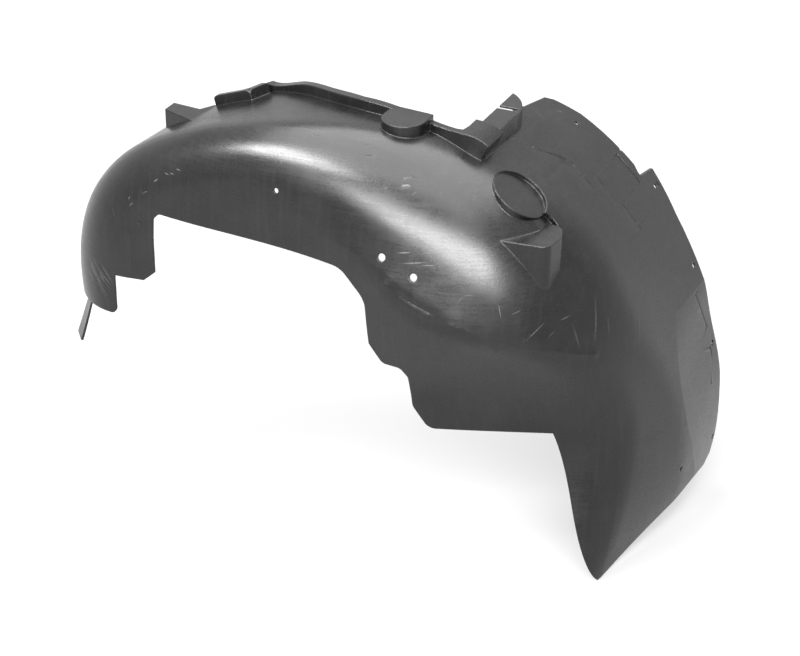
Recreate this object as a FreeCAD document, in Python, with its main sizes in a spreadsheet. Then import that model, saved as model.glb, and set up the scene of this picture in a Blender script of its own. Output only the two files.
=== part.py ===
import FreeCAD, Part
import math
import os

Vector = FreeCAD.Vector

doc = FreeCAD.newDocument("wheel_arch_liner")

# Sizes in mm and degrees. X runs forward, Y outboard and Z up from the wheel axis.
# Angles are read about that axis, from straight forward (0) over the top (90) to
# straight back (180).
sheet = doc.addObject("Spreadsheet::Sheet", "sizes")
aliases = []


def size(alias, value, note=""):
    aliases.append(alias)
    row = len(aliases)
    sheet.set("A%d" % row, alias)
    sheet.set("B%d" % row, str(value))
    sheet.set("C%d" % row, note)
    sheet.setAlias("B%d" % row, alias)


size("wall", 2.5, "moulded wall thickness")
size("blank_outboard", 150, "Y of the untrimmed outboard edge")
size("blank_foot_radius", 120, "radius where the untrimmed inner wall ends")

# The section at each station along the arch: its angle, the radius at the outboard
# edge, the shoulder (Y, radius, rounding), the ridge (Y, radius, rounding) and the
# Y of the inner wall's foot.
FIELDS = ("angle", "rim", "shoulder_y", "shoulder_radius", "shoulder_round",
          "ridge_y", "ridge_radius", "ridge_round", "foot_y")
SECTIONS = {
    "toe": (-30, 408, 20, 394, 140, -215, 380, 60, -240),
    "tongue": (-10, 404, 10, 389, 140, -155, 350, 80, -228),
    "front": (10, 398, -20, 386, 140, -118, 356, 70, -205),
    "nose": (28, 389, -100, 392, 150, -176, 352, 50, -205),
    "bulge": (44, 389, -170, 408, 170, -240, 303, 44, -205),
    "haunch": (60, 389, -196, 408, 130, -252, 275, 44, -205),
    "turn": (75, 382, -206, 402, 105, -238, 284, 44, -212),
    "crown": (95, 370, -211, 394, 66, -224, 300, 44, -215),
    "rear_crown": (120, 386, -213, 403, 60, -222, 300, 44, -215),
    "rear": (143, 404, -213, 401, 84, -222, 300, 44, -215),
    "rear_drop": (162, 475, -213, 326, 98, -222, 230, 44, -215),
    "heel": (190, 635, -213, 296, 98, -222, 215, 44, -215),
}
for station, values in SECTIONS.items():
    for field, value in zip(FIELDS, values):
        size(station + "_" + field, value)

# The raised rim along the outboard lip: angle, Y of its fold and height of its wall.
RIM_FIELDS = ("angle", "fold_y", "height")
RIM = {
    "rim_start": (110.4, -43, 11),
    "rim_rise": (103, -57, 11),
    "rim_rear": (95.5, -79, 12),
    "rim_top": (88.5, -96, 12),
    "rim_pad": (82, -103, 11),
    "rim_valley": (76, -107, 9),
    "rim_dip": (70.5, -114, 15),
    "rim_end": (65, -118, 20),
}
for station, values in RIM.items():
    for field, value in zip(RIM_FIELDS, values):
        size(station + "_" + field, value)
size("rim_draft", 2, "lean of the rim wall")
size("rim_root", 14, "how far the rim form starts below the skin")
size("lip_width", 12, "flat top of the rim outside its fold")

# The channel that carries the rim outboard along the rear edge of the front panel.
size("channel_front_x", 171)
size("channel_rear_x", 143)
size("channel_inner_y", -108)
size("channel_bend_y", -25, "where the front wall starts to curve back")
size("channel_end_y", 38)
size("channel_top_z", 381)
size("channel_root_z", 335)
size("channel_slot_y", -6, "drain slot in the channel's top edge")
size("channel_slot_width", 8)
size("channel_slot_depth", 12)

# The half-round pad on the lip.
size("pad_x", 76)
size("pad_y", -118)
size("pad_radius", 26)
size("pad_top_z", 399)
size("pad_root_z", 350)

# The raised block behind the rim: a long front and a short return at its front end.
size("block_rear_angle", 118.6)
size("block_front_angle", 111.2)
size("block_y", -74)
size("block_height", 13)
size("return_angle", 109.6)
size("return_y", -47)
size("block_root", 12, "how far both block forms start below the skin")
size("block_round", 5)

# The level shelf at the rear of the lip.
size("shelf_rear_x", -243)
size("shelf_length", 42)
size("shelf_y", -102)
size("shelf_turn", 15, "how far the shelf's front runs inboard over its length")
size("shelf_top_z", 345)
size("shelf_root_z", 285)

# The hood on the front shoulder, and the round seat and the scallop above it.
size("hood_rear_x", 190)
size("hood_front_x", 279)
size("hood_y", -179)
size("hood_top_z", 306)
size("hood_root_z", 235)
size("hood_round", 12)
size("seat_angle", 56.8)
size("seat_y", -123.5)
size("seat_radius", 34)
size("seat_lean", 0.185, "lean of the seat toward outboard, off the skin under it")
size("seat_sink", 2.5)
size("scallop_angle", 50.3)
size("scallop_y", -139)
size("scallop_radius", 24)
size("scallop_lean", 0.3)
size("scallop_sink", 0.5)

# The shallow patch in the front panel and the flange that falls back along its edge.
size("patch_step", 1.0)
size("patch_low_angle", 43.5)
size("patch_high_angle", 50)
size("patch_inner_y", 12)
size("patch_outer_y", 98)
size("flange_bend", 10, "how far the flange has fallen back at the untrimmed edge")

# The trimmed outline.
size("lip_y", -45, "outboard edge of the rear strip")
size("strip_inner_y", -65)
size("strip_foot_z", -22)
size("skirt_z", 54, "bottom of the inner wall in front")
size("tongue_root_x", 277, "where the tongue's free side leaves the skirt")
size("tongue_tip_x", 341)
size("tongue_tip_y", -156)
size("tongue_tip_z", -128)
size("flange_y", 121)
size("flange_upper_y", 112)
size("flange_ear_y", 143)
size("panel_corner_x", 159)

# Holes: the two screw pairs on the flange, the pair in the inner wall and three more.
size("screw_hole_radius", 3.5)
size("wall_hole_radius", 4.5)
size("small_hole_radius", 3)
HOLES = {
    "upper_screw_low": (25.5, 110),
    "upper_screw_high": (41, 122),
    "lower_screw_low": (-8.8, 112),
    "lower_screw_high": (10.2, 109),
    "wall_hole_front": (62, -238.8),
    "wall_hole_rear": (70, -235.9),
    "crown_hole": (96, -219.4),
    "panel_hole": (58.5, 87),
    "tongue_hole": (-7.5, 6.5),
}
for place, (angle, y) in HOLES.items():
    size(place + "_angle", angle)
    size(place + "_y", y)
doc.recompute()

# Rows of points that carry the skin, along the arch and across it, and where the one
# smooth skin is divided into faces, as shares of its length and width.
AROUND = 45
ACROSS = 41
SPLIT_AROUND = (0, 0.15, 0.3, 0.43, 0.55, 0.68, 0.8, 1)
SPLIT_ACROSS = (0, 0.3, 0.52, 0.72, 1)


def get(alias):
    return float(sheet.get(alias))


def track(field):
    """Smooth curve of one section size along the arch, read by angle."""
    places = [get(name + "_angle") for name in SECTIONS]
    points = [Vector(get(name + "_" + field), place, 0) for name, place in zip(SECTIONS, places)]
    curve = Part.BSplineCurve()
    curve.interpolate(Points=points, Parameters=places)
    return lambda angle: curve.value(angle).x


tracks = dict((field, track(field)) for field in FIELDS[1:])
first_angle = get("toe_angle")
last_angle = get("heel_angle")


def along(start, end, part):
    return start + (end - start) * part


def rounded(before, corner, after, radius, steps=12):
    """Points of the arc that rounds a corner between two straight runs."""
    back = before - corner
    ahead = after - corner
    half = back.getAngle(ahead) / 2
    reach = min(radius / math.tan(half), 0.9 * back.Length, 0.9 * ahead.Length)
    start = corner + back.normalize() * reach
    end = corner + ahead.normalize() * reach
    weight = math.sin(half)
    arc = []
    for step in range(steps + 1):
        part = step / steps
        a = (1 - part) ** 2
        b = 2 * part * (1 - part) * weight
        c = part ** 2
        arc.append((start * a + corner * b + end * c) * (1 / (a + b + c)))
    return arc


def spread(points, count):
    """The same run of points at even spacing."""
    lengths = [0.0]
    for a, b in zip(points, points[1:]):
        lengths.append(lengths[-1] + a.distanceToPoint(b))
    even = []
    at = 0
    for i in range(count):
        goal = lengths[-1] * i / (count - 1)
        while at < len(points) - 2 and lengths[at + 1] < goal:
            at += 1
        part = (goal - lengths[at]) / (lengths[at + 1] - lengths[at])
        even.append(along(points[at], points[at + 1], part))
    return even


def section(angle, grow=0.0):
    """Outer skin at one angle as (Y, radius) points, from the outboard edge to the foot."""
    angle = min(max(angle, first_angle), last_angle)
    now = dict((field, tracks[field](angle)) for field in tracks)
    rim = Vector(get("blank_outboard"), now["rim"], 0)
    shoulder = Vector(now["shoulder_y"], now["shoulder_radius"], 0)
    ridge = Vector(now["ridge_y"], now["ridge_radius"], 0)
    foot = Vector(now["foot_y"], get("blank_foot_radius"), 0)
    upper = rounded(rim, shoulder, ridge, now["shoulder_round"])
    lower = rounded(upper[-1], ridge, foot, now["ridge_round"])
    points = spread([rim] + upper + lower + [foot], ACROSS)
    if grow:
        points[0] = points[0] + (points[0] - points[1]).normalize() * grow
        points[-1] = points[-1] + (points[-1] - points[-2]).normalize() * grow
    return points


def spin(y, radius, angle):
    turn = math.radians(angle)
    return Vector(radius * math.cos(turn), y, radius * math.sin(turn))


def skin_row(angle, grow=0.0):
    return [spin(point.x, point.y, angle) for point in section(angle, grow)]


def inward_row(angle, distance, grow):
    """Skin row moved toward the wheel by a distance along the surface normal."""
    step = 0.5
    here = skin_row(angle, grow)
    before = skin_row(angle - step, grow)
    after = skin_row(angle + step, grow)
    row = []
    for i, point in enumerate(here):
        side = here[min(i + 1, len(here) - 1)] - here[max(i - 1, 0)]
        normal = side.cross(after[i] - before[i]).normalize()
        row.append(point + normal * distance)
    return row


def skin_radius(angle, y):
    """Outer skin radius where the section first comes in to a given Y."""
    points = section(angle)
    for before, after in zip(points, points[1:]):
        if after.x <= y:
            return along(before.y, after.y, (before.x - y) / (before.x - after.x))
    return points[-1].y


def skin_point(angle, y):
    return spin(y, skin_radius(angle, y), angle)


def skin_normal(angle, y):
    ahead = skin_point(angle + 1, y) - skin_point(angle - 1, y)
    side = skin_point(angle, y - 3) - skin_point(angle, y + 3)
    return ahead.cross(side).normalize()


def closed_form(grid, grid_angles, inner_y, inner_radius):
    """Solid between a skin grid and a curve that runs round the wheel axis."""
    face = Part.BSplineSurface()
    face.interpolate(grid)
    inner = Part.BSplineCurve()
    inner.interpolate([spin(inner_y, inner_radius, angle) for angle in grid_angles])
    core = Part.Wire(inner.toShape())
    faces = []
    for low, high in zip(SPLIT_AROUND, SPLIT_AROUND[1:]):
        for near, far in zip(SPLIT_ACROSS, SPLIT_ACROSS[1:]):
            patch = face.copy()
            patch.segment(low, high, near, far)
            faces.append(patch.toShape())
    for v in (0.0, 1.0):
        edge = Part.Wire(face.vIso(v).toShape())
        faces += Part.makeLoft([edge, core], False, True).Faces
    for end, u in ((0, 0.0), (-1, 1.0)):
        corner = spin(inner_y, inner_radius, grid_angles[end])
        sides = [Part.makeLine(grid[end][-1], corner), Part.makeLine(corner, grid[end][0])]
        outline = Part.Wire(Part.__sortEdges__([face.uIso(u).toShape()] + sides))
        outline.fixTolerance(1e-5)
        faces.append(Part.Face(outline))
    skins = Part.Compound(faces)
    skins.sewShape(1e-4)
    solid = Part.Solid(skins.Shells[0])
    if solid.Volume < 0:
        solid.reverse()
    return solid


def feature(name, shape):
    made = doc.addObject("Part::Feature", name)
    made.Shape = shape
    return made


def bound(kind, name, **expressions):
    """Document object whose properties are bound to the size sheet."""
    made = doc.addObject(kind, name)
    for prop, text in expressions.items():
        made.setExpression(prop, text)
    return made


def block(name, corner, lengths):
    made = bound("Part::Box", name, Length=lengths[0], Width=lengths[1], Height=lengths[2])
    for axis, text in zip("xyz", corner):
        made.setExpression("Placement.Base." + axis, text)
    return made


def cylinder(name, radius, height, base, axis):
    """Cylinder with a bound radius that stands on a point of the skin."""
    made = bound("Part::Cylinder", name, Radius=radius)
    made.Height = height
    made.Placement = FreeCAD.Placement(base, FreeCAD.Rotation(Vector(0, 0, 1), axis))
    return made


def fuse(name, parts):
    made = doc.addObject("Part::MultiFuse", name)
    made.Shapes = parts
    made.Refine = False
    return made


def cut(name, base, tools):
    """Base with each tool cut from it in turn; the last cut takes the name."""
    for tool in tools:
        made = doc.addObject("Part::Cut", name if tool is tools[-1] else tool.Name + "_cut")
        made.Base = base
        made.Tool = tool
        made.Refine = False
        base = made
    return made


def ring_loft(stations):
    """Solid through closed (Y, radius) outlines set at given angles."""
    wires = []
    for angle, outline in stations:
        points = [spin(y, radius, angle) for y, radius in outline]
        wires.append(Part.makePolygon(points + points[:1]))
    return Part.makeLoft(wires, True, False)


def prism(outline, low, high):
    """Upright solid over a closed (X, Y) outline."""
    points = [Vector(x, y, low) for x, y in outline]
    return Part.Face(Part.makePolygon(points + points[:1])).extrude(Vector(0, 0, high - low))


def round_upright(solid, radius, wanted):
    """Round the upright edges of a prism whose foot passes a test."""
    edges = []
    for edge in solid.Edges:
        box = edge.BoundBox
        if box.XLength < 0.1 and box.YLength < 0.1 and wanted(box.XMin, box.YMin):
            edges.append(edge)
    return solid.makeFillet(radius, edges)


def rim_form(inset):
    """Raised rim; an inset moves every face of it in by the wall."""
    names = list(RIM)
    reach = 45 + 4 * inset
    stations = []
    for name in names:
        angle = get(name + "_angle")
        fold = get(name + "_fold_y")
        base = skin_radius(angle, fold)
        top = base + get(name + "_height") - inset
        root = base - get("rim_root") - 2 * inset
        shift = math.degrees(inset / base)
        if name == names[0]:
            angle -= shift
        if name == names[-1]:
            angle += shift
        outline = [(fold + inset, root), (fold + get("rim_draft") + inset, top),
                   (fold + reach, top), (fold + reach, root)]
        stations.append((angle, outline))
    return ring_loft(stations)


def channel_form(inset):
    front = get("channel_front_x") - inset
    bend = get("channel_bend_y")
    end = get("channel_end_y") - inset
    rear = get("channel_rear_x") - 20
    inner = get("channel_inner_y") + inset
    low = get("channel_root_z") - inset
    high = get("channel_top_z") - inset
    arc = Part.Arc(Vector(front, bend, low), Vector(front - 8, along(bend, end, 0.66), low),
                   Vector(front - 28, end, low)).toShape()
    corners = [Vector(front - 28, end, low), Vector(rear, end, low), Vector(rear, inner, low),
               Vector(front, inner, low), Vector(front, bend, low)]
    outline = Part.Wire([arc, Part.makePolygon(corners)])
    return Part.Face(outline).extrude(Vector(0, 0, high - low))


def lip_block_form(first, second, inset):
    """Block along the lip whose front runs between two places on the skin."""
    start = skin_point(*first)
    run = skin_point(*second) - start
    length = run.Length
    normal = skin_normal(along(first[0], second[0], 0.5), along(first[1], second[1], 0.5))
    back = normal.cross(run).normalize()
    up = run.cross(back).normalize()
    root = get("block_root")
    height = get("block_height") - inset + root
    made = Part.makeBox(length - 2 * inset, 14 + 4 * inset, height, Vector(inset, inset, -root))
    top = [e for e in made.Edges if abs(e.BoundBox.YLength - 14 - 4 * inset) < 0.1
           and e.BoundBox.ZMin > 0]
    made = made.makeFillet(get("block_round") - inset, top)
    turn = FreeCAD.Rotation(run.normalize(), back, up, "ZXY")
    made.Placement = FreeCAD.Placement(start, turn)
    return made


def shelf_form(inset):
    rear = get("shelf_rear_x") + inset
    front = get("shelf_rear_x") + get("shelf_length")
    y = get("shelf_y") + inset
    outline = [(rear, y), (front, y - get("shelf_turn")), (front + 12, y + 20), (front, y + 60),
               (rear, y + 60)]
    return prism(outline, get("shelf_root_z") - inset, get("shelf_top_z") - inset)


def hood_form(inset):
    rear = get("hood_rear_x")
    front = get("hood_front_x") - inset
    y = get("hood_y") + inset
    outer_y = y - 2 * inset
    outline = [(rear, y - 8), (front - 3, y), (front + 2, y + 30), (front - 6, outer_y + 52),
               (front - 36, outer_y + 64), (rear, outer_y + 72)]
    made = prism(outline, get("hood_root_z") - inset, get("hood_top_z") - inset)
    return round_upright(made, get("hood_round") - inset, lambda x, _: x > front - 12)


def patch_form(inset):
    """Space above the skin that the shallow patch takes away."""
    low = get("patch_low_angle")
    high = get("patch_high_angle")
    inner = get("patch_inner_y")
    outer = get("patch_outer_y")
    depth = get("patch_step") + inset
    stations = []
    for part in (0, 0.33, 0.67, 1):
        angle = along(low, high, part)
        near = skin_radius(angle, inner)
        far = skin_radius(angle, outer)
        stations.append((angle, [(inner, near - depth), (outer, far - depth),
                                 (outer, far + 25), (inner, near + 25)]))
    return ring_loft(stations)


def bend_form(inset):
    """Space above the flange, which falls back from a slanting fold line."""
    fold = ((24, 30, 0), (18, 6, 0.6), (14, -2, 1), (9, -2, 1), (0, 15, 1), (-8, 42, 1),
            (-13, 60, 1), (-20, 90, 1), (-30, 120, 1))
    outer = get("blank_outboard")
    stations = []
    for angle, inner, share in fold:
        near = skin_radius(angle, inner)
        far = skin_radius(angle, outer)
        fall = share * get("flange_bend") + inset
        stations.append((angle, [(inner, near - inset), (outer, far - fall),
                                 (outer, far + 25), (inner, near + 25)]))
    return ring_loft(stations)


def lean_place(prefix):
    """Centre and axis of a round flat that leans off the skin."""
    angle = get(prefix + "_angle")
    y = get(prefix + "_y")
    axis = skin_normal(angle, y) + Vector(0, get(prefix + "_lean"), 0)
    axis.normalize()
    return skin_point(angle, y) - axis * get(prefix + "_sink"), axis


def side_form(side, skin, inset, offset):
    """Skin with every recess cut and every raised form added, at one inset."""
    seat, seat_axis = lean_place("seat")
    scallop, scallop_axis = lean_place("scallop")
    recesses = [
        feature(side + "_patch", patch_form(inset)),
        feature(side + "_bend", bend_form(inset)),
        cylinder(side + "_seat_space", "sizes.seat_radius + " + offset, 25,
                 seat - seat_axis * inset, seat_axis),
        cylinder(side + "_scallop_space", "sizes.scallop_radius + " + offset, 25,
                 scallop - scallop_axis * inset, scallop_axis),
    ]
    doc.recompute()
    lowered = feature(side + "_lowered", skin.Shape.cut([tool.Shape for tool in recesses]))
    pad = cylinder(side + "_pad_round", "sizes.pad_radius - " + offset, 40,
                   Vector(get("pad_x"), get("pad_y"), get("pad_top_z") - inset - 40), Vector(0, 0, 1))
    pad_back = block(side + "_pad_back",
                     ("sizes.pad_x - sizes.pad_radius + " + offset, "sizes.pad_y",
                      "sizes.pad_root_z - " + offset),
                     ("2 * (sizes.pad_radius - %s)" % offset, "sizes.pad_radius * 2",
                      "sizes.pad_top_z - sizes.pad_root_z"))
    corner = (get("block_front_angle"), get("block_y"))
    raised = [
        feature(side + "_rim", rim_form(inset)),
        feature(side + "_channel", channel_form(inset)),
        feature(side + "_block",
                lip_block_form((get("block_rear_angle"), get("block_y")), corner, inset)),
        feature(side + "_return",
                lip_block_form(corner, (get("return_angle"), get("return_y")), inset)),
        feature(side + "_shelf", shelf_form(inset)),
        feature(side + "_hood", hood_form(inset)),
        pad,
        pad_back,
        cylinder(side + "_seat", "sizes.seat_radius - " + offset, 14,
                 seat - seat_axis * (14 + inset), seat_axis),
    ]
    return fuse(side + "_form", [lowered] + raised)


angles = [along(first_angle, last_angle, i / (AROUND - 1)) for i in range(AROUND)]
outer_skin = feature("outer_skin", closed_form([skin_row(angle) for angle in angles], angles,
                                               get("blank_outboard"), get("blank_foot_radius")))
wall = get("wall")
clear = 15.0
far_angles = [first_angle - 4] + angles + [last_angle + 4]
inner_grid = [inward_row(angle, wall, clear) for angle in far_angles]
inner_skin = feature("inner_skin", closed_form(inner_grid, far_angles, get("blank_outboard") + clear,
                                               get("blank_foot_radius") - clear))
blank = cut("blank", side_form("outer", outer_skin, 0.0, "0"),
            [side_form("inner", inner_skin, wall, "sizes.wall")])

PLANES = {
    "XZ": (lambda a, b, low: Vector(a, low, b), Vector(0, 1, 0)),
    "YZ": (lambda a, b, low: Vector(low, a, b), Vector(1, 0, 0)),
    "XY": (lambda a, b, low: Vector(a, b, low), Vector(0, 0, 1)),
}


def trim(name, outline, plane, low, high, rounds=()):
    """Prism over an outline in one view; rounds lists (radius, corners to round)."""
    place, way = PLANES[plane]
    points = [place(a, b, low) for a, b in outline]
    solid = Part.Face(Part.makePolygon(points + points[:1])).extrude(way * (high - low))
    for radius, corners in rounds:
        edges = []
        for corner in corners:
            line = Part.makeLine(place(*corner, low), place(*corner, high))
            edges += [edge for edge in solid.Edges if edge.distToShape(line)[0] < 0.01
                      and edge.CenterOfMass.distanceToPoint(line.CenterOfMass) < 0.01]
        solid = solid.makeFillet(radius, edges)
    return feature(name, solid)


# Side view of what the inner wall loses: the wheel opening, the steps at both ends
# and everything below the skirt.
skirt = get("skirt_z")
tip = (get("tongue_tip_x"), get("tongue_tip_z"))
arch = [(-197, 193), (-196, 262), (-188, 270), (-173, 269), (49, 257), (81, 225), (81, 165),
        (96, 141), (119, 141), (127, 129), (127, 85), (143, skirt), (get("tongue_root_x"), skirt), tip,
        (tip[0], -260), (-560, -260), (-560, 126), (-252, 126), (-252, 178), (-212, 180)]
arch_rounds = [(26, [(49, 257), (81, 225)]),
               (9, [(-252, 126), (119, 141), (127, 129), (96, 141)]),
               (14, [(127, 85), (143, skirt)]),
               (5, [(-196, 262), (-188, 270)])]
arch_trim = trim("arch_trim", arch, "XZ", -420, get("strip_inner_y"), arch_rounds)

# Front view of the flange's edge, from the panel's rear corner past the notch and the
# ear to the tongue's slanting foot.
flange = get("flange_y")
upper = get("flange_upper_y")
flange_outline = [(upper - 20, 420), (upper - 17, 357), (upper - 8, 352), (upper - 5, 347),
                  (upper, 336), (upper, 284), (upper - 5, 277), (upper - 5, 273),
                  (get("flange_ear_y"), 268), (flange + 8, 222), (flange, 150), (flange, -62),
                  (flange - 3, -88), (flange - 21, -97), (flange - 60, -91),
                  (get("tongue_tip_y"), get("tongue_tip_z")), (-300, -153), (-300, -260),
                  (250, -260), (250, 420)]
flange_trim = trim("flange_trim", flange_outline, "YZ", 150, 600)

# Plan view of the lip's free edge, from the rear strip to the panel's rear corner.
lip = get("lip_y")
rear_x = get("channel_rear_x")
lip_outline = [(-620, lip), (-330, lip), (-250, -80), (-206, -84), (-196, -66), (-150, -66),
               (-139, -42)]
for name in list(RIM)[:7]:
    angle = get(name + "_angle")
    y = get(name + "_fold_y") + get("lip_width")
    lip_outline.append((skin_point(angle, y).x, y))
lip_outline += [(rear_x - 2, -102), (rear_x, -90), (rear_x, 40), (rear_x + 9, 50),
                (get("panel_corner_x"), 95), (get("panel_corner_x"), 300), (-620, 300)]
lip_trim = trim("lip_trim", lip_outline, "XY", -300, 600)

strip_trim = block("strip_trim", ("-650", "-500", "sizes.strip_foot_z - 400"), ("400", "800", "400"))
slot = block("slot", ("sizes.channel_rear_x - 6",
                      "sizes.channel_slot_y - sizes.channel_slot_width / 2",
                      "sizes.channel_top_z - sizes.channel_slot_depth"),
             ("30", "sizes.channel_slot_width", "30"))
trimmed = cut("trimmed", blank,
              [arch_trim, lip_trim, flange_trim, strip_trim, slot])


def hole(place, radius, axis):
    centre = skin_point(get(place + "_angle"), get(place + "_y"))
    return cylinder(place, radius, 24, centre - axis * 12, axis)


def lone_hole(place):
    axis = skin_normal(get(place + "_angle"), get(place + "_y"))
    return hole(place, "sizes.small_hole_radius", axis)


def hole_pair(first, second, radius):
    """Two parallel holes, square to the line between them."""
    angles_of_pair = [(get(place + "_angle"), get(place + "_y")) for place in (first, second)]
    ends = [skin_point(*spot) for spot in angles_of_pair]
    line = (ends[1] - ends[0]).normalize()
    mean = skin_normal(*angles_of_pair[0]) + skin_normal(*angles_of_pair[1])
    axis = (mean - line * mean.dot(line)).normalize()
    return [hole(first, radius, axis), hole(second, radius, axis)]


holes = hole_pair("upper_screw_low", "upper_screw_high", "sizes.screw_hole_radius")
holes += hole_pair("lower_screw_low", "lower_screw_high", "sizes.screw_hole_radius")
holes += hole_pair("wall_hole_front", "wall_hole_rear", "sizes.wall_hole_radius")
holes += [lone_hole("crown_hole"), lone_hole("panel_hole"), lone_hole("tongue_hole")]
liner = cut("wheel_arch_liner", trimmed, holes)
liner.Label = "wheel_arch_liner"
doc.recompute()

# The part's own origin is the middle of its box's underside.
box = liner.Shape.optimalBoundingBox(True, False)
liner.Placement = FreeCAD.Placement(Vector(-box.Center.x, -box.Center.y, -box.ZMin),
                                    FreeCAD.Rotation())
doc.recompute()

for made in doc.Objects:
    if "Invalid" in made.State or "Error" in made.State:
        raise RuntimeError("not built: " + made.Name)
    if hasattr(made, "Shape") and (made.Shape.isNull() or not made.Shape.isValid()):
        raise RuntimeError("bad shape: " + made.Name)
if len(liner.Shape.Solids) != 1:
    raise RuntimeError("the liner is not one solid")

os.makedirs("parts", exist_ok=True)
liner.Shape.exportStep("parts/wheel_arch_liner.step")
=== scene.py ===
"""Wheel arch liner: the moulded skin with its fine folds, black plastic with grain, wear and
scratches, a pale floor, soft studio light and the photograph's camera. Metres, row frame."""
import math
import random

import bpy
import numpy as np
from mathutils import Matrix, Vector
from mathutils.bvhtree import BVHTree


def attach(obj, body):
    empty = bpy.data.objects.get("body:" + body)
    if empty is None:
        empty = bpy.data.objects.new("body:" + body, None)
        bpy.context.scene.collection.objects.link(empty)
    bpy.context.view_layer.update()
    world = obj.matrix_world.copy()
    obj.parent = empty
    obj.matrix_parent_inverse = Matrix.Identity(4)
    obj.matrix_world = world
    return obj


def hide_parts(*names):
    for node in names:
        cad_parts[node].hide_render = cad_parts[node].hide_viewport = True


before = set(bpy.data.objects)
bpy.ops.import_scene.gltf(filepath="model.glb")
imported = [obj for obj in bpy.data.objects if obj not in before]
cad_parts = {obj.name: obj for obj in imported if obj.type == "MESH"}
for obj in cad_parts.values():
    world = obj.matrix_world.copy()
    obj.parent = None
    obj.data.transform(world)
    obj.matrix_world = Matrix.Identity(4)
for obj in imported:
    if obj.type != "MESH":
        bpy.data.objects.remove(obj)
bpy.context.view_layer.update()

NODE = "wheel_arch_liner"
BODY = "root"

# Camera: where it looks, from which bearing and height, and its lens.
CAMERA_TARGET = Vector((0.05554, 0.00361, 0.21706))
CAMERA_AZIMUTH = math.radians(25.0)
CAMERA_ELEVATION = math.radians(28.4)
CAMERA_DISTANCE = 3.0
CAMERA_LENS = 112.05
SENSOR_WIDTH = 36.0

# Lamps: bearing, height in degrees, distance, width, height and watts. Bearing 0 is the -Y side.
LAMPS = {
    "key_light": (18, 35, 2.6, 2.7, 0.85, 230),
    "left_light": (-44, 53, 2.6, 1.2, 0.6, 100),
    "top_light": (180, 84, 2.2, 2.8, 2.8, 170),
}
LAMP_TARGET = Vector((0.05, 0, 0.25))

# Surroundings: the light they throw, and the floor's own glow near the part and far from it. The weaker glow
# near the part is painted shade round it, which also darkens the floor that the part reflects.
WORLD_LEVEL = 0.1
FLOOR_COLOR = (0.18, 0.18, 0.18, 1)
FLOOR_GLOW_NEAR_PAINTED_SHADE = 0.45
FLOOR_GLOW_FAR = 0.95
GLOW_START = 0.4
GLOW_END = 2.4
FLOOR_RADIUS = 14.0
FLOOR_SIDES = 64
FLOOR_DROP = 0.001

# Folds and marks on the moulded skin: the kind of profile, its height, the width of its slope,
# how far it runs out to the sides, and its line. A fold goes the way that the face nearest to
# each point of its line looks: outward where that is the outer face, inward where it is the
# inner one. A step raises the side on the left of the line, seen against that way.
FOLDS = {
    "panel_crease": ("step", 0.0007, 0.0010, 0.030,
                     ((0.1830, 0.0155, 0.4890), (0.1875, 0.0179, 0.4859), (0.2116, 0.0307, 0.4687),
                      (0.2401, 0.0550, 0.4508), (0.2475, 0.0559, 0.4460), (0.2796, 0.0500, 0.4213))),
    "panel_break": ("crest", 0.0012, 0.010, 0.040,
                    ((0.2401, 0.0550, 0.4508), (0.2420, -0.0120, 0.4543), (0.2599, -0.0496, 0.4437))),
    "panel_low": ("step", 0.0004, 0.0010, 0.020,
                  ((0.3061, 0.0792, 0.3918), (0.3331, 0.0858, 0.3550))),
    "patch_rear": ("bead", 0.00045, 0.0011, 0.004, ((0.2660, 0.1656, 0.4238), (0.2715, 0.0736, 0.4265))),
    "patch_inner": ("bead", 0.00045, 0.0011, 0.004,
                    ((0.2715, 0.0736, 0.4265), (0.2954, 0.0731, 0.4028), (0.3061, 0.0792, 0.3918))),
    "patch_front": ("bead", 0.00045, 0.0011, 0.004, ((0.3061, 0.0792, 0.3918), (0.2968, 0.1518, 0.3957))),
    "flange_line": ("bead", 0.0006, 0.0014, 0.005,
                    ((0.3783, 0.1397, 0.2684), (0.3899, 0.1559, 0.2217), (0.3985, 0.1548, 0.1875),
                     (0.4051, 0.1457, 0.1512))),
    "shelf_line": ("bead", 0.0005, 0.0011, 0.004, ((-0.1810, -0.0626, 0.4673), (-0.1310, -0.0807, 0.4866))),
    "ridge": ("crest", 0.0017, 0.009, 0.045,
              ((0.1173, -0.1862, 0.3943), (0.1273, -0.1894, 0.3844), (0.1470, -0.1924, 0.3740),
               (0.1835, -0.1930, 0.3613), (0.2066, -0.1909, 0.3506), (0.2381, -0.1807, 0.3404),
               (0.2768, -0.1587, 0.3234), (0.3125, -0.1286, 0.3104), (0.3446, -0.0871, 0.2932))),
    "rear_fold": ("crest", 0.0008, 0.006, 0.025, ((-0.2111, -0.1662, 0.3720), (-0.2107, -0.1681, 0.3117))),
    "rear_pip": ("bead", 0.0009, 0.0018, 0.006, ((-0.1980, -0.1659, 0.3802), (-0.1972, -0.1659, 0.3796))),
    "panel_pip": ("bead", 0.0008, 0.0013, 0.005, ((0.3063, 0.1822, 0.3822), (0.3095, 0.1843, 0.3790))),
    "edge_pip": ("bead", 0.0008, 0.0016, 0.005, ((0.2656, 0.1650, 0.4240), (0.2664, 0.1662, 0.4234))),
    "tick_rear": ("bead", 0.0006, 0.0011, 0.004, ((0.0699, -0.1165, 0.5048), (0.0741, -0.1121, 0.5060))),
    "tick_front": ("bead", 0.0006, 0.0011, 0.004, ((0.0757, -0.1268, 0.4989), (0.0830, -0.1243, 0.4993))),
    "tick_low_rear": ("bead", 0.0007, 0.0011, 0.004, ((0.1235, -0.1340, 0.4842), (0.1307, -0.1293, 0.4856))),
    "tick_low_front": ("bead", 0.0009, 0.0013, 0.004, ((0.1262, -0.1405, 0.4784), (0.1316, -0.1375, 0.4794))),
    "tick_top": ("bead", 0.0006, 0.0012, 0.004, ((0.0082, -0.1196, 0.5079), (0.0122, -0.1201, 0.5076))),
}
FOLD_END = 0.012
FOLD_END_SHARE = 0.3
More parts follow.
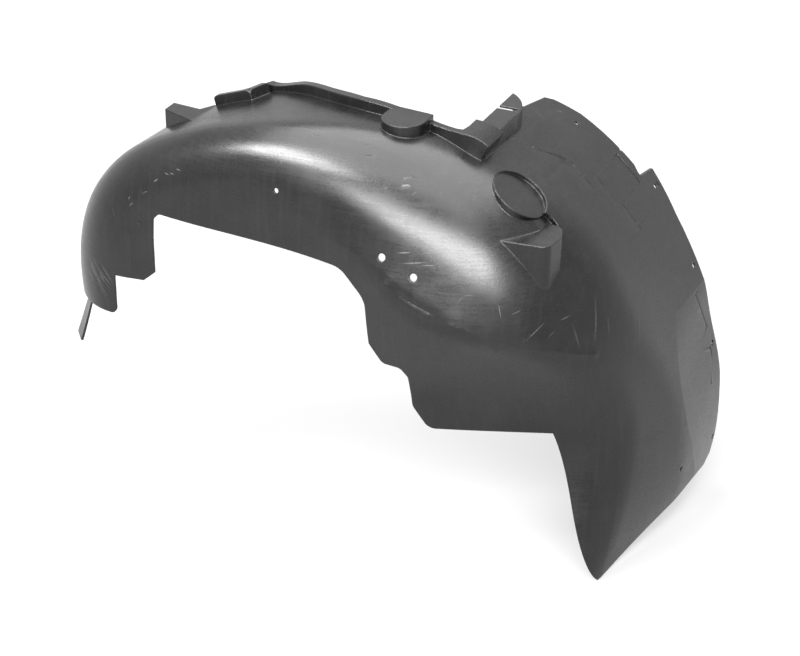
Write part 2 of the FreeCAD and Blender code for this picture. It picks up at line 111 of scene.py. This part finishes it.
FOLD_MARGIN = 0.004
FREE_DEPTH = 0.004
DEPTH_SHARE = 0.5

# Triangles near a fold: the longest edge on its line, and how that grows with the distance.
FINEST_EDGE = 0.0006
EDGE_GROWTH = 0.35
CREST_EDGE = 0.0018
CREST_GROWTH = 0.25
LONG_EDGE = 1.0
MOST_SPLITS = 9
NORMAL_STEP = 0.00015
ASKEW = np.array([0.013, 0.029, 0.017])

# Scratches and scuffs: both ends, half the width and the strength. The first few are the long
# ones on the rear skirt.
SCRATCHES = (
    ((-0.2784, -0.1535, 0.3173), (-0.2522, -0.1653, 0.2793), 0.0006, 0.8),
    ((-0.2723, -0.1565, 0.3224), (-0.2471, -0.1661, 0.2906), 0.0005, 0.7),
    ((-0.2675, -0.1605, 0.3032), (-0.2467, -0.1660, 0.2709), 0.0006, 0.7),
    ((-0.2622, -0.1621, 0.3101), (-0.2392, -0.1670, 0.2879), 0.0006, 0.6),
    ((-0.2763, -0.1557, 0.3090), (-0.2633, -0.1622, 0.2927), 0.0008, 0.7),
    ((-0.2579, -0.1638, 0.3019), (-0.2513, -0.1653, 0.2918), 0.0008, 0.6),
    ((-0.2374, -0.1573, 0.3880), (-0.2330, -0.1615, 0.3788), 0.0005, 0.5),
    ((-0.2138, -0.1598, 0.4045), (-0.2116, -0.1589, 0.4093), 0.0009, 0.8),
    ((-0.1966, -0.1607, 0.4154), (-0.1852, -0.1608, 0.4225), 0.0006, 0.7),
    ((-0.2129, -0.1620, 0.3974), (-0.2064, -0.1620, 0.4034), 0.0006, 0.7),
    ((-0.1800, -0.1581, 0.4328), (-0.1730, -0.1572, 0.4385), 0.0010, 0.8),
    ((-0.1665, -0.1551, 0.4459), (-0.1578, -0.1576, 0.4452), 0.0009, 0.8),
    ((-0.1586, -0.1560, 0.4478), (-0.1515, -0.1578, 0.4477), 0.0008, 0.8),
    ((-0.1518, -0.1547, 0.4533), (-0.1423, -0.1567, 0.4536), 0.0008, 0.7),
    ((0.1072, -0.1482, 0.4759), (0.1112, -0.1458, 0.4774), 0.0008, 0.6),
    ((0.1353, -0.1776, 0.4176), (0.1541, -0.1743, 0.4210), 0.0009, 0.8),
    ((0.1418, -0.1806, 0.4075), (0.1743, -0.1740, 0.4128), 0.0009, 0.8),
    ((0.1625, -0.1778, 0.4089), (0.1839, -0.1729, 0.4104), 0.0008, 0.6),
    ((0.2503, -0.1610, 0.3736), (0.2561, -0.1648, 0.3559), 0.0006, 0.9),
    ((0.2963, -0.1320, 0.3490), (0.2799, -0.1557, 0.3288), 0.0006, 0.9),
    ((0.2629, -0.1584, 0.3595), (0.2738, -0.1470, 0.3643), 0.0007, 0.5),
    ((0.3060, -0.1262, 0.3379), (0.2993, -0.1378, 0.3280), 0.0006, 0.4),
    ((0.1973, -0.1472, 0.4418), (0.2026, -0.1477, 0.4380), 0.0007, 0.6),
    ((0.1371, -0.1449, 0.4711), (0.1437, -0.1372, 0.4759), 0.0006, 0.5),
    ((0.2142, -0.1763, 0.3815), (0.2267, -0.1705, 0.3824), 0.0007, 0.5),
    ((0.2099, -0.1814, 0.3726), (0.2156, -0.1757, 0.3816), 0.0007, 0.5),
    ((0.1942, 0.1363, 0.4708), (0.2019, 0.1434, 0.4668), 0.0009, 0.6),
    ((0.1766, 0.1091, 0.4796), (0.2005, 0.0983, 0.4701), 0.0006, 0.35),
    ((0.3266, -0.0703, 0.3614), (0.3387, -0.0929, 0.3050), 0.0016, 0.30),
    ((0.3166, -0.1100, 0.3422), (0.3291, -0.1093, 0.3037), 0.0010, 0.30),
    ((0.3570, -0.0091, 0.3171), (0.3683, -0.0260, 0.2835), 0.0012, 0.22),
    ((0.3409, -0.0634, 0.3372), (0.3478, -0.0725, 0.3092), 0.0012, 0.22),
    ((0.3066, -0.1221, 0.3447), (0.3155, -0.1076, 0.3480), 0.0009, 0.5),
)
SKIRT_SCRATCHES = 6
SCRATCH_DEPTH = 0.008
SCRATCH_GAIN = 1.7
SCRATCH_TONE = 0.07
SCRATCH_ROUGHNESS = 0.25
FINE_COUNT = 16
FINE_SEED = 11
FINE_SHIFT = 0.012
FINE_TILT = 0.006
FINE_WIDTH = 0.0005
FINE_STRENGTH = (0.25, 0.6)

# Black plastic: grey levels and roughness of the moulded surface.
TONE = (0.002, 0.005)
ROUGHNESS = (0.25, 0.30)
PLASTIC_IOR = 1.42
EDGE_RADIUS = 0.0022


def add_camera():
    sin_a, cos_a = math.sin(CAMERA_AZIMUTH), math.cos(CAMERA_AZIMUTH)
    sin_e, cos_e = math.sin(CAMERA_ELEVATION), math.cos(CAMERA_ELEVATION)
    right = Vector((cos_a, sin_a, 0))
    up = Vector((-sin_a * sin_e, cos_a * sin_e, cos_e))
    back = Vector((sin_a * cos_e, -cos_a * cos_e, sin_e))
    data = bpy.data.cameras.new("camera")
    data.lens = CAMERA_LENS
    data.sensor_width = SENSOR_WIDTH
    camera = bpy.data.objects.new("camera", data)
    place = Matrix((right, up, back)).transposed().to_4x4()
    place.translation = CAMERA_TARGET + back * CAMERA_DISTANCE
    camera.matrix_world = place
    bpy.context.scene.collection.objects.link(camera)
    bpy.context.scene.camera = camera


def area_light(name, azimuth, elevation, distance, width, height, power):
    """Rectangular lamp at a bearing from the target, and out of the camera's sight."""
    turn, rise = math.radians(azimuth), math.radians(elevation)
    away = Vector((math.sin(turn) * math.cos(rise), -math.cos(turn) * math.cos(rise), math.sin(rise)))
    data = bpy.data.lights.new(name, "AREA")
    data.shape = "RECTANGLE"
    data.size = width
    data.size_y = height
    data.energy = power
    lamp = bpy.data.objects.new(name, data)
    lamp.location = LAMP_TARGET + away * distance
    lamp.rotation_euler = (-away).to_track_quat("-Z", "Y").to_euler()
    lamp.visible_camera = False
    bpy.context.scene.collection.objects.link(lamp)


class Nodes:
    """Short ways to build a node tree."""

    def __init__(self, tree):
        self.tree = tree
        tree.nodes.clear()

    def add(self, kind, inputs=None, **props):
        node = self.tree.nodes.new(kind)
        for name, value in props.items():
            setattr(node, name, value)
        for key, value in (inputs or {}).items():
            self.put(node.inputs[key], value)
        return node

    def put(self, socket, value):
        if isinstance(value, bpy.types.NodeSocket):
            self.tree.links.new(value, socket)
        else:
            socket.default_value = value

    def math(self, operation, *values, clamp=False):
        node = self.add("ShaderNodeMath", operation=operation, use_clamp=clamp)
        for socket, value in zip(node.inputs, values):
            self.put(socket, value)
        return node.outputs[0]

    def sum(self, *values):
        total = values[0]
        for value in values[1:]:
            total = self.math("ADD", total, value)
        return total

    def noise(self, vector, scale, detail=4.0, roughness=0.5):
        node = self.add("ShaderNodeTexNoise", {"Vector": vector, "Scale": scale, "Detail": detail,
                                               "Roughness": roughness})
        return node.outputs["Fac"]

    def scaled(self, vector, scale, turn=(0, 0, 0)):
        node = self.add("ShaderNodeMapping", {"Vector": vector, "Scale": scale, "Rotation": turn})
        return node.outputs[0]

    def between(self, value, low, high, to_low=0.0, to_high=1.0):
        node = self.add("ShaderNodeMapRange", {"Value": value, "From Min": low, "From Max": high,
                                               "To Min": to_low, "To Max": to_high})
        return node.outputs[0]

    def bump(self, strength, distance, height, normal):
        node = self.add("ShaderNodeBump", {"Strength": strength, "Distance": distance,
                                           "Height": height, "Normal": normal})
        return node.outputs[0]


def seen_directly(nodes):
    """1 for camera, mirror and see-through rays, 0 for rays that light the object."""
    path = nodes.add("ShaderNodeLightPath")
    seen = nodes.math("MAXIMUM", path.outputs["Is Camera Ray"], path.outputs["Is Glossy Ray"])
    return nodes.math("MAXIMUM", seen, path.outputs["Is Transmission Ray"])


def add_world():
    world = bpy.data.worlds.new("studio")
    world.use_nodes = True
    nodes = Nodes(world.node_tree)
    strength = nodes.between(seen_directly(nodes), 0, 1, WORLD_LEVEL, 1.0)
    light = nodes.add("ShaderNodeBackground", {"Color": (1, 1, 1, 1), "Strength": strength})
    out = nodes.add("ShaderNodeOutputWorld")
    world.node_tree.links.new(light.outputs[0], out.inputs["Surface"])
    bpy.context.scene.world = world


def pale_floor():
    """Grey that keeps the shadow, with a glow toward white where camera, mirror and see-through rays see it.
    The glow is weaker near the part, as painted shade.
    """
    material = bpy.data.materials.new("pale_floor")
    material.use_nodes = True
    nodes = Nodes(material.node_tree)
    place = nodes.add("ShaderNodeTexCoord").outputs["Object"]
    reach = nodes.add("ShaderNodeVectorMath", {0: place}, operation="LENGTH").outputs["Value"]
    # painted shade: the glow rises from near the part to far from it, so the floor is darker round the part
    # and in its reflections
    glow_with_painted_shade = nodes.between(reach, GLOW_START, GLOW_END, FLOOR_GLOW_NEAR_PAINTED_SHADE, FLOOR_GLOW_FAR)
    glow = nodes.math("MULTIPLY", seen_directly(nodes), glow_with_painted_shade)
    shade = nodes.add("ShaderNodeBsdfPrincipled", {
        "Base Color": FLOOR_COLOR, "Roughness": 0.9, "Specular IOR Level": 0.0,
        "Emission Color": (1, 1, 1, 1), "Emission Strength": glow})
    out = nodes.add("ShaderNodeOutputMaterial")
    material.node_tree.links.new(shade.outputs[0], out.inputs["Surface"])
    return material


def add_floor():
    turns = [2 * math.pi * i / FLOOR_SIDES for i in range(FLOOR_SIDES)]
    points = [(FLOOR_RADIUS * math.cos(turn), FLOOR_RADIUS * math.sin(turn), 0) for turn in turns]
    mesh = bpy.data.meshes.new("floor")
    mesh.from_pydata(points, [], [list(range(FLOOR_SIDES))])
    mesh.materials.append(pale_floor())
    floor = bpy.data.objects.new("floor", mesh)
    floor.location.z = -FLOOR_DROP
    bpy.context.scene.collection.objects.link(floor)


class Fold:
    """One line on the skin, and the height that it gives the points round it."""

    def __init__(self, tree, kind, height, slope, reach, line):
        self.kind, self.height, self.slope, self.reach = kind, height, slope, reach
        self.line = np.array(line)
        self.out = np.array([tree.find_nearest(Vector(point))[1] for point in line])
        self.spans = self.line[1:] - self.line[:-1]
        self.lengths = np.linalg.norm(self.spans, axis=1)
        self.starts = np.concatenate([[0], np.cumsum(self.lengths)])

    def holds(self, points, margin):
        """Which points lie in the box round the line."""
        low, high = self.line.min(0) - margin, self.line.max(0) + margin
        return ((points > low) & (points < high)).all(1)

    def near(self, points):
        """Distance to the line, side of it, way along it and the fold's direction there."""
        best = np.full(len(points), np.inf)
        side = np.zeros(len(points))
        run = np.zeros(len(points))
        out = np.zeros((len(points), 3))
        last = len(self.spans) - 1
        for i, span in enumerate(self.spans):
            gap = points - self.line[i]
            share = gap @ span / (span @ span)
            held = np.clip(share, 0, 1)
            off = gap - held[:, None] * span
            facing = (1 - held)[:, None] * self.out[i] + held[:, None] * self.out[i + 1]
            depth = (off * facing).sum(1)
            flat = off - facing * depth[:, None]
            too_deep = abs(depth).clip(FREE_DEPTH) - FREE_DEPTH
            away = np.linalg.norm(flat, axis=1) + DEPTH_SHARE * too_deep
            closer = away < best
            best[closer] = away[closer]
            side[closer] = np.sign((np.cross(facing, span) * off).sum(1))[closer]
            low = share if i == 0 else held
            high = share if i == last else held
            place = np.where(share < 0.5, low, high)
            run[closer] = (self.starts[i] + place * self.lengths[i])[closer]
            out[closer] = facing[closer]
        return best, side, run, out

    def lift(self, points):
        """Height of the fold at each point, and its direction there."""
        away, side, run, out = self.near(points)
        if self.kind == "bead":
            return self.height * np.exp(-(away / self.slope) ** 2), out
        total = self.starts[-1]
        fade = min(FOLD_END, total * FOLD_END_SHARE)
        ends = np.clip(run / fade, 0, 1) * np.clip((total - run) / fade, 0, 1)
        ends = ends * ends * (3 - 2 * ends)
        fall = np.clip(1 - away / self.reach, 0, 1) ** 2
        if self.kind == "crest":
            form = np.exp(-away / self.slope)
        else:
            form = 0.5 + 0.5 * np.tanh(side * away / self.slope)
        return self.height * form * fall * ends, out

    def longest_edge(self, points):
        """How long a triangle's edge may be at each point."""
        margin = self.reach + FOLD_MARGIN
        away = self.near(points)[0]
        crest = self.kind == "crest"
        finest = CREST_EDGE if crest else FINEST_EDGE
        growth = CREST_GROWTH if crest else EDGE_GROWTH
        return np.where(away < margin, finest + growth * away, LONG_EDGE)


def split_edges(points, normals, limit):
    """Triangles with each edge halved where it is longer than the limit at its middle."""
    ends = np.roll(points, -1, axis=1)
    middle = (points + ends) / 2
    middle_normal = normals + np.roll(normals, -1, axis=1)
    middle_normal /= np.linalg.norm(middle_normal, axis=2)[..., None].clip(1e-9)
    length = np.linalg.norm(points - ends, axis=2)
    cut = length > limit(middle.reshape(-1, 3)).reshape(-1, 3)
    count = cut.sum(1)
    both = np.concatenate([points, middle], 1), np.concatenate([normals, middle_normal], 1)
    kept = [[field[count == 0][:, :3]] for field in both]
    # Which edges are cut, and the triangles then: 0 to 2 are corners, 3 to 5 the edges' middles.
    plans = {(1, 0, 0): ((0, 3, 2), (3, 1, 2)), (0, 1, 0): ((0, 1, 4), (0, 4, 2)),
             (0, 0, 1): ((0, 1, 5), (5, 1, 2)), (1, 1, 0): ((0, 3, 2), (3, 1, 4), (3, 4, 2)),
             (0, 1, 1): ((0, 1, 4), (0, 4, 5), (5, 4, 2)), (1, 0, 1): ((0, 3, 5), (3, 1, 2), (3, 2, 5)),
             (1, 1, 1): ((0, 3, 5), (3, 1, 4), (5, 4, 2), (3, 4, 5))}
    for plan, parts in plans.items():
        chosen = (cut == np.array(plan, bool)).all(1)
        for part in parts:
            for held, field in zip(kept, both):
                held.append(field[chosen][:, list(part)])
    return [np.concatenate(held) for held in kept], int(count.sum())


def skin_mesh():
    """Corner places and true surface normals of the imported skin's triangles."""
    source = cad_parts[NODE].data
    source.calc_loop_triangles()
    corners = np.zeros(len(source.loop_triangles) * 3, int)
    source.loop_triangles.foreach_get("loops", corners)
    vertex_of = np.zeros(len(source.loops), int)
    source.loops.foreach_get("vertex_index", vertex_of)
    places = np.zeros(len(source.vertices) * 3)
    source.vertices.foreach_get("co", places)
    normals = np.zeros(len(source.loops) * 3)
    source.corner_normals.foreach_get("vector", normals)
    points = np.round(places, 7).reshape(-1, 3)[vertex_of[corners]]
    return points.reshape(-1, 3, 3), normals.reshape(-1, 3)[corners].reshape(-1, 3, 3)


def search_tree(points):
    return BVHTree.FromPolygons(points.reshape(-1, 3).tolist(),
                                np.arange(len(points) * 3).reshape(-1, 3).tolist())


def refined(points, normals, folds):
    """Finer triangles round each fold."""

    def limit(middles):
        size = np.full(len(middles), LONG_EDGE)
        for fold in folds:
            close = np.flatnonzero(fold.holds(middles, fold.reach + FOLD_MARGIN))
            size[close] = np.minimum(size[close], fold.longest_edge(middles[close]))
        return size

    for _ in range(MOST_SPLITS):
        (points, normals), cuts = split_edges(points, normals, limit)
        if not cuts:
            break
    return points, normals


def add_folds(points, normals, tree):
    """The skin with each fold's height, and normals turned by the fold's slope."""
    folds = [Fold(tree, *form) for form in FOLDS.values()]
    points, normals = refined(points, normals, folds)
    flat = points.reshape(-1, 3)
    facing = normals.reshape(-1, 3)
    moved = flat.copy()
    turned = facing.copy()
    for fold in folds:
        close = np.flatnonzero(fold.holds(flat, fold.reach + FOLD_MARGIN))
        spots, ways = flat[close], facing[close]
        height, out = fold.lift(spots)
        moved[close] += out * height[:, None]
        first = np.cross(ways, out + ASKEW)
        first /= np.linalg.norm(first, axis=1)[:, None].clip(1e-9)
        second = np.cross(ways, first)
        slope = np.zeros_like(ways)
        for way in (first, second):
            ahead = fold.lift(spots + way * NORMAL_STEP)[0] - fold.lift(spots - way * NORMAL_STEP)[0]
            slope += way * (ahead / (2 * NORMAL_STEP))[:, None]
        turned[close] -= slope * (ways * out).sum(1)[:, None]
    turned /= np.linalg.norm(turned, axis=1)[:, None]
    return moved, turned


def build_skin():
    points, normals = skin_mesh()
    tree = search_tree(points)
    points, normals = add_folds(points, normals, tree)
    keys, index = np.unique(np.round(points, 6), axis=0, return_inverse=True)
    faces = index.reshape(-1, 3)
    whole = (faces != np.roll(faces, 1, axis=1)).all(1)
    faces = faces[whole]
    mesh = bpy.data.meshes.new("liner_skin")
    mesh.from_pydata(keys.tolist(), [], faces.tolist())
    mesh.polygons.foreach_set("use_smooth", np.ones(len(faces), bool))
    mesh.normals_split_custom_set(normals.reshape(-1, 3, 3)[whole].reshape(-1, 3).tolist())
    mesh.materials.append(black_plastic(tree))
    mesh.update()
    skin = bpy.data.objects.new("liner_skin", mesh)
    bpy.context.scene.collection.objects.link(skin)
    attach(skin, BODY)
    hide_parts(NODE)


def fine_scratches():
    """Handling marks on the rear skirt: the scratches there, set off a little by chance."""
    draw = random.Random(FINE_SEED)
    marks = []
    for _ in range(FINE_COUNT):
        start, end = SCRATCHES[draw.randrange(SKIRT_SCRATCHES)][:2]
        shift = Vector([draw.uniform(-FINE_SHIFT, FINE_SHIFT) for _ in range(3)])
        tilt = Vector([draw.uniform(-FINE_TILT, FINE_TILT) for _ in range(3)])
        marks.append((Vector(start) + shift, Vector(end) + shift + tilt, FINE_WIDTH,
                      draw.uniform(*FINE_STRENGTH)))
    return marks


def scratch_mask(nodes, place, tree):
    """1 in the middle of each scratch, which is a long thin ellipsoid lying in the skin."""
    total = None
    for start, end, width, strength in (*SCRATCHES, *fine_scratches()):
        start, end = (tree.find_nearest(Vector(point))[0] for point in (start, end))
        middle, out = tree.find_nearest((start + end) / 2)[:2]
        along = (end - start).normalized()
        across = out.cross(along).normalized()
        turn = Matrix((along, across, along.cross(across))).transposed().to_euler()
        local = nodes.add("ShaderNodeMapping", {
            "Vector": place, "Location": middle, "Rotation": turn,
            "Scale": ((end - start).length / 2, width, SCRATCH_DEPTH)}, vector_type="TEXTURE")
        ball = nodes.add("ShaderNodeTexGradient", {"Vector": local.outputs[0]},
                         gradient_type="SPHERICAL").outputs["Fac"]
        mark = nodes.math("MULTIPLY", ball, strength * SCRATCH_GAIN)
        total = mark if total is None else nodes.math("MAXIMUM", total, mark)
    broken = nodes.between(nodes.noise(place, 600.0, 2.0), 0.35, 0.5, 0.3, 1.0)
    return nodes.math("MULTIPLY", total, broken, clamp=True)


def black_plastic(tree):
    """Satin black polypropylene: orange peel, grain, handling streaks, scuffs and scratches."""
    material = bpy.data.materials.new("black_plastic")
    material.use_nodes = True
    nodes = Nodes(material.node_tree)
    place = nodes.add("ShaderNodeTexCoord").outputs["Object"]
    cloud = nodes.noise(place, 16.0, 5.0, 0.62)
    speckle = nodes.noise(place, 420.0, 3.0, 0.6)
    streaks = nodes.noise(nodes.scaled(place, (22.0, 60.0, 420.0)), 1.0, 4.0, 0.6)
    falls = nodes.noise(nodes.scaled(place, (180.0, 60.0, 7.0), (0, 0.25, 0)), 1.0, 3.0, 0.6)
    scratches = scratch_mask(nodes, place, tree)

    rough = nodes.sum(nodes.between(cloud, 0.35, 0.65, *ROUGHNESS),
                      nodes.between(speckle, 0.35, 0.65, -0.015, 0.02),
                      nodes.between(streaks, 0.35, 0.65, -0.02, 0.035),
                      nodes.math("MULTIPLY", scratches, SCRATCH_ROUGHNESS))
    tone = nodes.sum(nodes.between(cloud, 0.3, 0.7, *TONE),
                     nodes.between(falls, 0.5, 0.8, 0.0, 0.003),
                     nodes.between(speckle, 0.62, 0.8, 0.0, 0.010),
                     nodes.math("MULTIPLY", scratches, SCRATCH_TONE))
    color = nodes.add("ShaderNodeCombineColor", {"Red": tone, "Green": tone, "Blue": tone}).outputs[0]

    round_edge = nodes.add("ShaderNodeBevel", {"Radius": EDGE_RADIUS}, samples=6).outputs[0]
    peel = nodes.bump(0.3, 0.00012, speckle, round_edge)
    grain = nodes.bump(0.3, 0.0001, nodes.noise(place, 1300.0, 2.0), peel)
    shade = nodes.add("ShaderNodeBsdfPrincipled", {
        "Base Color": color, "Roughness": rough, "IOR": PLASTIC_IOR, "Normal": grain})
    out = nodes.add("ShaderNodeOutputMaterial")
    material.node_tree.links.new(shade.outputs[0], out.inputs["Surface"])
    return material


add_camera()
add_world()
add_floor()
for name, form in LAMPS.items():
    area_light(name, *form)
build_skin()
bpy.context.scene.view_settings.view_transform = "Standard"
